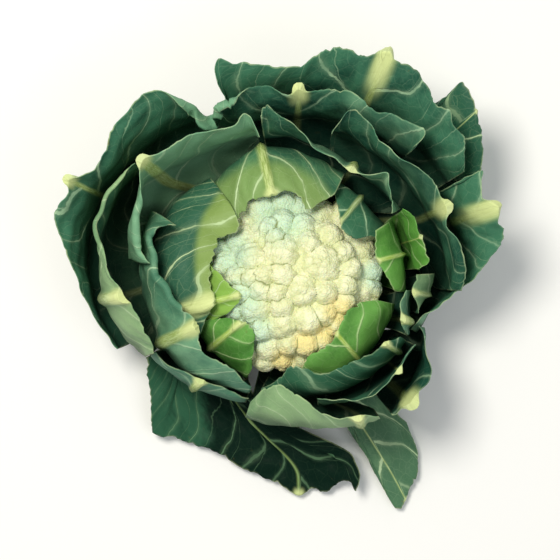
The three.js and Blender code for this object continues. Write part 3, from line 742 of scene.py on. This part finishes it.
def grow_leaf(name, seed, ruffle=1.4, tear=3.5, tone_and_painted_light=0.0, painted_sunlight=0.0, bloom=0.0, beyond=0.0, rolls=(),
              stout=1.0, pale=8, sparse=1.0, painted_shade_span=(0.45, 0.9)):
    plan = LEAVES[name]
    along, side, middle, rim_walk, azimuth = trimmed_grid(plan, seed, tear, beyond)
    sheet, normal = sheet_point(plan, along, side), sheet_normal(plan, along, side)
    across, up = lengths(sheet, 1), lengths(sheet, 0)
    across -= across[:, middle : middle + 1]
    reach, rim_gap = np.abs(across), up[-1] - up
    rim = np.minimum(rim_gap, np.minimum(across - across[:, :1], across[:, -1:] - across))
    vein = vein_number(across, up, seed, sparse)
    lift = blade_lift(along, across, up, rim, rim_walk, vein, seed, ruffle)
    if plan["belly"] is None:
        lift = lift * ease(0.05, 0.6, along)
    midrib, depth = midrib_swelling(plan, along, across, stout)
    half = mix(RIM_THICKNESS, BLADE_THICKNESS, ease(0, 6, rim)) / 2
    body = roll_rim(sheet + normal * lift[..., None], rim_gap, azimuth[None, :], rolls)
    facing = grid_normals(body)
    inner = body - facing * (half + 0.15 * depth)[..., None]
    outer = body + facing * (half + 0.85 * depth)[..., None]
    at = np.arange(along.size).reshape(along.shape)
    quads, border = grid_quads(at), grid_border(at)
    following = np.roll(border, -1)
    edge = np.stack([border, following, following + along.size, border + along.size], -1)
    faces = np.concatenate([quads[:, [0, 3, 2, 1]], quads + along.size, edge]).tolist()
    marks = {
        "vein": vein, "reach": reach, "rim": rim, "midrib": midrib,
        "cut": np.exp(-((reach / (7 * stout)) ** 2) - (rim_gap / pale) ** 2),
        # depth is painted shade: 1 near the foot, fading to 0 toward the rim.
        "depth": 1 - ease(*painted_shade_span, along + 0.08 * waves(across, up, 40, seed + 8)),
        "tone_and_painted_light": spread(tone_and_painted_light, sheet), "painted_sunlight": spread(painted_sunlight, sheet),
    }
    marks = {key: np.tile(values.ravel(), 2) for key, values in marks.items()}
    marks["underside"] = np.concatenate([spread(bloom, sheet).ravel(), np.ones(along.size)])
    blade = np.stack([across / 10, up / 10, np.full(across.shape, 3.7 * seed)], -1).reshape(-1, 3)
    marks["blade"] = np.tile(blade, (2, 1))
    points = np.concatenate([inner.reshape(-1, 3), outer.reshape(-1, 3)])
    finish, slot = FINISHES[plan["finish"]], SLOTS[plan["finish"]]
    return write_piece(name + "_grown", points, faces, marks, finish, name, sharp_from=2 * len(quads))


# %% [markdown]
# ## All 27 leaves
#
# Each leaf gets its own seed for its unevenness, and where it needs them, its own habits:
# how much it ruffles and tears, how stout its midrib is and how far it is pale, how sparse
# its veins are, how far its rim grows beyond the plan or rolls in, how light its tone is,
# with painted light on one leaf and painted shadow on others, and how far up from the foot
# painted shade darkens it. The leaves next to the curd get painted warm sunlight, on two of
# them in a patch around the middle of the head. Where a blade's end
# turns its waxy bloom up to the light, its upper face takes on the paler look of the underside.

# %% Painted sunlight near the middle


def painted_sunlight_patch(centre, radius, softness, most):
    """Painted warm sunlight inside a circle round a point of the ground plan."""
    def share(sheet):
        away = np.hypot(sheet[..., 0] - centre[0], sheet[..., 1] - centre[1])
        return most * (1 - ease(radius - softness, radius + softness, away))
    return share


def pale_end(start, end, most):
    """Paler between two azimuths, where the blade's end turns its waxy bloom up to the light."""
    def share(sheet):
        azimuth = np.degrees(np.arctan2(sheet[..., 1], sheet[..., 0])) % 360
        height = ease(95, 125, sheet[..., 2])
        return most * height * ease(start - 6, start, azimuth) * (1 - ease(end, end + 6, azimuth))
    return share


# %% Habits by leaf number, and the leaves
HABITS = {
    # The yellow tints of leaves 1, 6 and 7 are painted sunlight, the darkening spans paint shade deep in the
    # bowl, and some tones are painted light and shadow.
    1: dict(stout=0.6, pale=10, tone_and_painted_light=0.2, beyond=3, tear=6, painted_sunlight=0.4, sparse=0.5),
    2: dict(stout=0.7, pale=14, beyond=1.5, sparse=0.6),
    3: dict(stout=0.5, pale=3, tone_and_painted_light=0.1, beyond=1.5, sparse=0.7),
    4: dict(stout=0.6, pale=3, tone_and_painted_light=-0.15, sparse=0.8),
    5: dict(stout=0.5, pale=3, sparse=0.7),
    6: dict(painted_sunlight=painted_sunlight_patch((-20, 40), 62, 7, 0.55), painted_shade_span=(0.3, 0.6), beyond=3.5, sparse=0.8),
    7: dict(painted_sunlight=painted_sunlight_patch((0, 22), 82, 4, 0.7), stout=1.7, pale=34, painted_shade_span=(0.5, 0.72),
        tone_and_painted_light=-0.25, beyond=3.5, sparse=1.2),
    8: dict(stout=0.7, tone_and_painted_light=-0.25),
    9: dict(stout=0.4, pale=3, painted_shade_span=(0.3, 0.7), tone_and_painted_light=0.2, sparse=0.6),
    10: dict(pale=9, bloom=pale_end(40, 62, 0.7), tear=7),
    11: dict(rolls=[(160, 192, 9, 150)], stout=1.3, pale=20, tone_and_painted_light=-0.05),
    13: dict(stout=0.8),
    14: dict(stout=1.1, pale=16, tear=5),
    # Leaf 15: its high tone is painted light.
    15: dict(rolls=[(151, 170, 9, 160)], stout=1.3, pale=12, tone_and_painted_light=1.0, painted_shade_span=(0.2, 0.42), bloom=1.0),
    16: dict(stout=0.6),
    17: dict(stout=1.5, pale=34, painted_shade_span=(0.45, 0.8), bloom=pale_end(18, 52, 0.35)),
    18: dict(tone_and_painted_light=-0.8),
    19: dict(rolls=[(146, 172, 5, 150)], stout=1.3, pale=20),
    20: dict(rolls=[(104, 118, 13, 190)], stout=1.5, pale=26, bloom=pale_end(48, 70, 0.8), tear=7),
    21: dict(stout=1.7, pale=44, tone_and_painted_light=0.2),
    # Leaf 22: its low tone is painted shadow.
    22: dict(stout=2.0, pale=30, tone_and_painted_light=-0.5),
    23: dict(stout=1.7, pale=50, tone_and_painted_light=0.05, sparse=1.3),
    24: dict(rolls=[(113, 123, 15, 170)], stout=1.2, pale=12, tone_and_painted_light=0.1, sparse=1.3),
    25: dict(stout=0.4, pale=2, tone_and_painted_light=-0.35),
    26: dict(ruffle=1.2, tear=2.2, stout=0.5, pale=2, painted_shade_span=(0.2, 0.5), tone_and_painted_light=-0.1,
        bloom=0.35, beyond=-3.2),
    # Leaf 27: its tone darkens its right side, as painted shadow.
    27: dict(ruffle=1.8, tear=3.0, stout=0.8, pale=7, painted_shade_span=(0.3, 0.6),
        tone_and_painted_light=lambda sheet: 0.15 - 0.9 * ease(-90, -40, sheet[..., 0])),
}
leaf_faces = 0
for number, name in enumerate(LEAVES, start=1):
    leaf = grow_leaf(name, seed=number * 11, **HABITS.get(number, {}))
    leaf_faces += len(leaf.data.polygons)
print(len(LEAVES), "leaves,", leaf_faces, "faces")

# %% [markdown]
# ## The curd
#
# The curd is a dome of florets, each a smaller dome, each covered with buds. It could be
# joined from many balls, but their hidden insides would stay in the mesh. Here one skin is
# stretched over the outermost ball in every direction, then the buds are raised on it. The
# skin also notes how near it is to the fold between two florets, where painted shade darkens it.

# %% Floret plan: x, y and radius of each dome as seen
FLORETS = np.array([
    (-27, 62, 16), (-8, 68, 14), (8, 64, 12), (25, 56, 13), (-8, 50, 11), (9, 49, 9.5), (-19, 46, 9),
    (-42, 36, 16), (-62, 27, 11), (-14, 38, 8), (31, 39, 11), (46, 41, 11), (58, 28, 12),
    (-57, 14, 11.5), (-34, 20, 12.5), (-9, 25, 15.5), (14, 34, 9), (24, 15, 17), (42, 25, 10),
    (49, 11, 10), (65, 10, 12), (-46, 5, 9.5), (-24, 5, 9), (-35, 3, 8), (-9, 6, 10.5), (46, -3, 9),
    (62, -6, 13), (-43, -10, 10), (-27, -7, 10), (-13, -9, 9), (8, -8, 13.5), (28, -9, 10),
    (43, -18, 10), (-31, -22, 13.5), (-9, -21, 9.5), (-48, -23, 10), (13, -32, 12.5), (26, -27, 10.5),
    (-9, -36, 12), (-27, -39, 10.5), (38, -34, 11), (-43, -37, 11), (-20, -54, 12.5), (-3, -52, 9.5),
    (12, -52, 11), (-8, -66, 9), (27, -50, 11), (-23, -67, 9), (-60, -8, 12), (-59, -27, 11),
    (-38, -56, 12), (53, -31, 13), (42, -51, 12), (22, -66, 12), (66, -24, 10), (62, 44, 11),
    (45, 58, 12), (-58, 46, 11), (-46, 58, 10), (7, -67, 9), (-54, -43, 10),
], float)
CURD_RADIUS = 77
CURD_HEIGHT = 56
CURD_LEVEL = 72
CURD_SQUARENESS = 2.5
CORE_DEPTH = 9
FLORET_SWELL = 1.16
FLORET_REACH = 0.97
CURD_HEART = np.array([0.0, 0.0, 66.0])
CURD_BASE = 49.35
CURD_CONE = [(110, 92), (78, 75), (60, 65), (27, CURD_BASE + 3), (20, CURD_BASE), (0, CURD_BASE)]

# %% Curd skin


def floret_balls():
    radius = FLORETS[:, 2] * FLORET_SWELL
    share = np.minimum(np.hypot(FLORETS[:, 0], FLORETS[:, 1]) / (CURD_RADIUS - radius), FLORET_REACH)
    z = CURD_LEVEL + (CURD_HEIGHT - radius) * (1 - share**CURD_SQUARENESS) ** (1 / CURD_SQUARENESS)
    scale = true_share(z + radius)
    return np.stack([FLORETS[:, 0] * scale, FLORETS[:, 1] * scale, z], -1), radius


def core_hit(way):
    """Distance from the curd's heart to the squarish dome under the florets."""
    wide, tall = CURD_RADIUS - CORE_DEPTH, CURD_HEIGHT - CORE_DEPTH
    near, far = np.zeros(len(way)), np.full(len(way), 200.0)
    for _ in range(24):
        half = (near + far) / 2
        place = CURD_HEART + way * half[:, None]
        level = np.hypot(place[:, 0], place[:, 1]) / wide
        rise = np.maximum(place[:, 2] - CURD_LEVEL, 0) / tall
        inside = level**CURD_SQUARENESS + rise**CURD_SQUARENESS < 1
        near, far = np.where(inside, half, near), np.where(inside, far, half)
    return near


def far_hit(way, centre, radius):
    """Distance from the curd's heart to the far side of a ball, or 0 where it is missed."""
    w, c = way / radius, (CURD_HEART - centre) / radius
    a, b, k = (w * w).sum(-1), (w * c).sum(-1), (c * c).sum(-1) - 1
    inside = b * b - a * k
    return np.where(inside > 0, (-b + np.sqrt(np.maximum(inside, 0))) / a, 0.0)


def underside_hit(way):
    """Distance to the cone under the curd, or far away where the skin never meets it."""
    level, rise = np.hypot(way[:, 0], way[:, 1]), way[:, 2]
    nearest = np.full(len(way), 1e3)
    for (r1, z1), (r2, z2) in zip(CURD_CONE, CURD_CONE[1:]):
        dr, dz, drop = r2 - r1, z2 - z1, z1 - CURD_HEART[2]
        across = level * dz - rise * dr
        across = np.where(np.abs(across) < 1e-9, 1e-9, across)
        t = (r1 * dz - drop * dr) / across
        s = (r1 * rise - drop * level) / across
        fits = (t > 0) & (s >= -1e-6) & (s <= 1 + 1e-6)
        nearest = np.where(fits, np.minimum(nearest, t), nearest)
    return nearest


def dome_grid(count, widest):
    """Directions on a cap, from a square grid bent into a disc so that no point crowds."""
    line = np.linspace(-1, 1, count)
    x, y = np.meshgrid(line, line, indexing="xy")
    steep = np.abs(x) > np.abs(y)
    r = np.where(steep, x, y)
    other, safe = np.where(steep, y, x), np.where(r == 0, 1, r)
    angle = np.where(steep, other / safe * math.pi / 4, math.pi / 2 - other / safe * math.pi / 4)
    tilt = widest * r
    way = np.stack([np.sin(tilt) * np.cos(angle), np.sin(tilt) * np.sin(angle), np.cos(tilt)], -1)
    return way.reshape(-1, 3)


# %% Curd maker
CURD_GRID = 300
CURD_WIDEST = 130
SWAY_REACH = 75
WOBBLE = 1.1
LUMP_GAP = 7.5
LUMP_HEIGHT = 1.35
BUD_GAP = 3.0
BUD_HEIGHT = 0.62


def nearest_two(points, seeds):
    tree = KDTree(len(seeds))
    for k, seed in enumerate(seeds):
        tree.insert(seed, k)
    tree.balance()
    return np.array([[hit[2] for hit in tree.find_n(p, 2)] for p in points])


def scatter(points, gap, seed):
    """A spread of points at least this far apart, picked from the skin."""
    chance, kept, taken = np.random.default_rng(seed), [], {}
    around = [(dx, dy, dz) for dx in (-1, 0, 1) for dy in (-1, 0, 1) for dz in (-1, 0, 1)]
    for k in chance.permutation(len(points)):
        p = points[k]
        cell = tuple(np.floor(p / gap).astype(int))
        close = False
        for dx, dy, dz in around:
            for q in taken.get((cell[0] + dx, cell[1] + dy, cell[2] + dz), ()):
                apart = (p[0] - q[0]) ** 2 + (p[1] - q[1]) ** 2 + (p[2] - q[2]) ** 2
                close = close or apart < gap * gap
        if not close:
            taken.setdefault(cell, []).append(p)
            kept.append(p)
    return np.array(kept)


def swayed(way):
    """The directions bent a little, so that no floret is a true ball."""
    level = way * SWAY_REACH
    sway = [waves(level[:, 0] + level[:, 2], level[:, 1] - level[:, 2], 13, 70 + k, 9) for k in range(3)]
    bent = way + np.stack(sway, -1) * WOBBLE / SWAY_REACH
    return bent / np.linalg.norm(bent, axis=1, keepdims=True)


def curd_skin(way):
    """The outermost surface each way, how near it is to a fold between florets, where shade is painted, and
    whether it shows.
    """
    bent = swayed(way)
    centres, radii = floret_balls()
    hits = np.sort(np.stack([far_hit(bent, c, r) for c, r in zip(centres, radii)], -1), -1)
    bottom = underside_hit(way)
    core = np.minimum(core_hit(way), bottom - 0.5)
    top, second = np.maximum(hits[:, -1], core), np.maximum(hits[:, -2], core)
    shown = bottom > top
    painted_crease_shade = np.exp(-np.abs(top - second) / 1.1) * shown * ease(0.0, 0.8, hits[:, -1] - core)
    return CURD_HEART + way * np.minimum(top, bottom)[:, None], painted_crease_shade, shown


def raise_bumps(points, way, shown):
    """Raises the lumps and then the buds, and marks the seams between them, where shade is painted."""
    painted_seam_shade = np.zeros(len(points))
    for gap, height, share, seed in ((LUMP_GAP, LUMP_HEIGHT, 1.0, 5), (BUD_GAP, BUD_HEIGHT, 0.6, 6)):
        seeds = scatter(points, gap, seed)
        near = nearest_two(points, seeds)
        uneven = 1 + 0.35 * waves(points[:, 0], points[:, 1] + points[:, 2], 22, seed + 40)
        bump = (1 - np.minimum(near[:, 0] / (gap * 0.9), 1) ** 2) * uneven
        painted_seam_shade = np.maximum(painted_seam_shade, share * uneven * (1 - ease(0.0, 0.22 * gap, near[:, 1] - near[:, 0])))
        points = points + way * (height * (bump - 0.9) * shown)[:, None]
        print("curd bumps:", len(seeds), "about", gap, "mm apart")
    return points, painted_seam_shade


def grow_curd():
    way = dome_grid(CURD_GRID, math.radians(CURD_WIDEST))
    points, painted_crease_shade, shown = curd_skin(way)
    points, painted_seam_shade = raise_bumps(points, way, shown)
    points[:, 2] = np.maximum(points[:, 2], CURD_BASE)
    at = np.arange(len(points)).reshape(CURD_GRID, CURD_GRID)
    border, foot = grid_border(at), len(points)
    faces = grid_quads(at).tolist() + [[int(b), int(a), foot] for a, b in zip(border, np.roll(border, -1))]
    points = np.concatenate([points, [[0, 0, CURD_BASE]]])
    marks = {"painted_crease_shade": np.append(painted_crease_shade, 0.0), "painted_seam_shade": np.append(painted_seam_shade, 0.0)}
    print("curd:", len(FLORETS), "florets,", len(points), "points")
    return write_piece("curd_grown", points, faces, marks, curd_finish(), "curd")


# %% [markdown]
# ## The curd's finish
#
# The curd is ivory, with painted shade, cool and faintly green, on the upper left and round
# its edges, and a warm straw colour at the lower right, partly yellowing and partly painted
# sunlight. Thin brownish painted shade lies between florets and between its buds. A real curd
# scatters light a little under its skin, which softens its shadows.

# %% Curd finish
# Spots of the ground plan: warm ones partly yellowing and partly painted sunlight, cool ones painted shade.
YELLOWING_AND_SUNLIGHT_SPOTS = [((40, -25), 16), ((12, -52), 14), ((-8, -66), 12), ((28, -44), 12)]
PAINTED_SHADE_SPOTS = [((72, 6), 16), ((-8, 62), 34), ((-56, 26), 26), ((-48, -18), 26), ((-34, -42), 20)]


def spot_share(tree, spots):
    flat = flattened(add_node("NewGeometry", tree=tree).outputs["Position"])
    total = 0.0
    for (x, y), radius in spots:
        centre = (x * MM, y * MM, 0)
        away = add_node("VectorMath", {"operation": "DISTANCE"}, i0=flat, i1=centre)
        inside = soften(away.outputs["Value"], radius * MM * 0.4, radius * MM * 1.2, 1.0, 0.0)
        total = larger(total, inside)
    return total


def curd_finish():
    finish, tree, shader = start_finish("curd_ivory_white")
    place = add_node("TexCoord", tree=tree).outputs["Object"]
    mottling = patches(place, 90.0)
    colour = blend(soften(mottling, 0.35, 0.65), srgb("dde1ae"), srgb("eef0c8"))
    # Cool mint here is painted shade.
    colour = tint(colour, times(spot_share(tree, PAINTED_SHADE_SPOTS), 0.75), "bfe2ca")
    # Warm straw here is partly yellowing, partly painted sunlight.
    colour = tint(colour, times(spot_share(tree, YELLOWING_AND_SUNLIGHT_SPOTS), 0.8), "f0dc8e")
    # Painted shade in the seams between lumps and buds.
    colour = tint(colour, times(mark_value(tree, "painted_seam_shade"), 0.34), "b4bd84")
    # Painted shade in the folds between florets, olive-dark.
    colour = tint(colour, soften(mark_value(tree, "painted_crease_shade"), 0.15, 0.9, 0.0, 0.9), "7c8847")
    grains = add_node("TexVoronoi", Vector=place, Scale=620.0)
    relief(shader, less(1.0, grains.outputs["Distance"]), 0.0007)
    connect(shader, Base_Color=colour, Roughness=0.62)
    connect(shader, Subsurface_Weight=0.2, Subsurface_Radius=(0.003, 0.002, 0.001), Subsurface_Scale=1.0)
    return finish


grow_curd()

# %% [markdown]
# ## The stem
#
# The stem is a stout stump. It stands on the knife's cut, which is pale with a ring of
# tougher strings round a soft middle, and its side is green-white with the scars of leaves
# that have been pulled off.

# %% Stem finish


def stem_finish():
    finish, tree, shader = start_finish("stem_green_white")
    place = add_node("TexCoord", tree=tree).outputs["Object"]
    flat = flattened(place)
    away = add_node("VectorMath", {"operation": "LENGTH"}, i0=flat).outputs["Value"]
    drawn = add_node("Mapping", Vector=place, Scale=(1.0, 1.0, 0.12)).outputs[0]
    strings = patches(drawn, 420.0, 4.0, 0.65)
    side = blend(soften(strings, 0.3, 0.7), srgb("a9b87c"), srgb("d3dcae"))
    facing = add_node("NewGeometry", tree=tree).outputs["Normal"]
    down = add_node("SeparateXYZ", Vector=facing).outputs["Z"]
    ring = times(soften(away, 0.015, 0.018), soften(away, 0.019, 0.021, 1.0, 0.0))
    pith = blend(patches(place, 300.0, 4.0), srgb("dfe0b8"), srgb("eeeccb"))
    face = tint(pith, times(ring, 0.6), "a9a56a")
    colour = blend(soften(down, -0.9, -0.6, 1.0, 0.0), side, face)
    relief(shader, strings, 0.0006)
    connect(shader, Base_Color=colour, Roughness=0.6)
    return finish


# %% Stem maker
STEM_PROFILE = [(23.0, 0.0), (24.4, 0.8), (24.8, 2.5), (25.0, 6), (25, 14), (25, 22), (25, 30), (25, 38),
                (24.8, 44), (23.8, 47.2), (22.5, 49)]
STEM_SIDES = 96


def grow_stem():
    rings = np.array(STEM_PROFILE, float)
    steps = [np.linspace(a, b, 4)[:-1] for a, b in zip(rings[:-1, 1], rings[1:, 1])]
    heights = np.concatenate(steps + [rings[-1:, 1]])
    radii = np.interp(heights, rings[:, 1], rings[:, 0])
    angle = np.linspace(0, 2 * math.pi, STEM_SIDES, endpoint=False)
    hollow = 0.7 * np.maximum(waves(angle[None, :] * 25, heights[:, None], 18, 31), 0)
    r = radii[:, None] - hollow * ease(0, 5, heights[:, None])
    points = np.stack([r * np.cos(angle), r * np.sin(angle), heights[:, None] + 0 * r], -1).reshape(-1, 3)
    at = np.arange(r.size).reshape(r.shape)
    beside = np.roll(at, -1, axis=1)
    faces = np.stack([at[:-1], beside[:-1], beside[1:], at[1:]], -1).reshape(-1, 4).tolist()
    caps = [at[0, ::-1].tolist(), at[-1].tolist()]
    print("stem:", len(faces), "faces")
    return write_piece(
        "stem_grown", points, faces + caps, {}, stem_finish(), "stem", sharp_from=len(faces))


grow_stem()

# %% [markdown]
# ## Floor, light and camera
#
# The photograph looks straight down from about two metres, so the camera does too, with a
# long lens. The floor is plain and pale. One large soft lamp on the upper left gives the
# leaves their direction of light. A weak one opposite and the pale sky fill the shadows.

# %% Floor
bpy.ops.mesh.primitive_plane_add(size=6, location=(0, 0, -0.0002))
floor = bpy.context.object
floor.name = "floor"
floor_finish, _, floor_shader = start_finish("pale_floor")
connect(floor_shader, Base_Color=(0.9, 0.9, 0.9, 1), Roughness=0.9)
floor.data.materials.append(floor_finish)

# %% Light


def soft_lamp(name, place, size, power, colour):
    lamp = bpy.data.lights.new(name, "AREA")
    lamp.shape, lamp.size, lamp.energy, lamp.color = "DISK", size, power, colour
    holder = bpy.data.objects.new(name, lamp)
    holder.location = place
    holder.rotation_euler = (-holder.location).to_track_quat("-Z", "Y").to_euler()
    bpy.context.collection.objects.link(holder)
    print(name, "at", place)


soft_lamp("key_lamp", (-0.55, 0.55, 1.9), 0.7, 33, (1.0, 0.96, 0.86))
soft_lamp("fill_lamp", (0.9, -0.6, 1.6), 1.2, 5, (0.90, 0.96, 1.0))
world = bpy.data.worlds.new("pale_sky")
world.use_nodes = True
connect(world.node_tree.nodes["Background"], Color=(0.98, 0.99, 0.98, 1), Strength=0.42)
bpy.context.scene.world = world

# %% Colours as they are picked
bpy.context.scene.view_settings.view_transform = "Standard"
bpy.context.scene.view_settings.look = "None"

# %% Camera
SENSOR_WIDTH = 36
FOCAL_LENGTH = 143.7
CAMERA_PLACE = (-0.0102, 0.0017, 2.0)
lens = bpy.data.cameras.new("camera")
lens.sensor_width = SENSOR_WIDTH
lens.lens = FOCAL_LENGTH
camera = bpy.data.objects.new("camera", lens)
camera.location = CAMERA_PLACE
bpy.context.collection.objects.link(camera)
bpy.context.scene.camera = camera
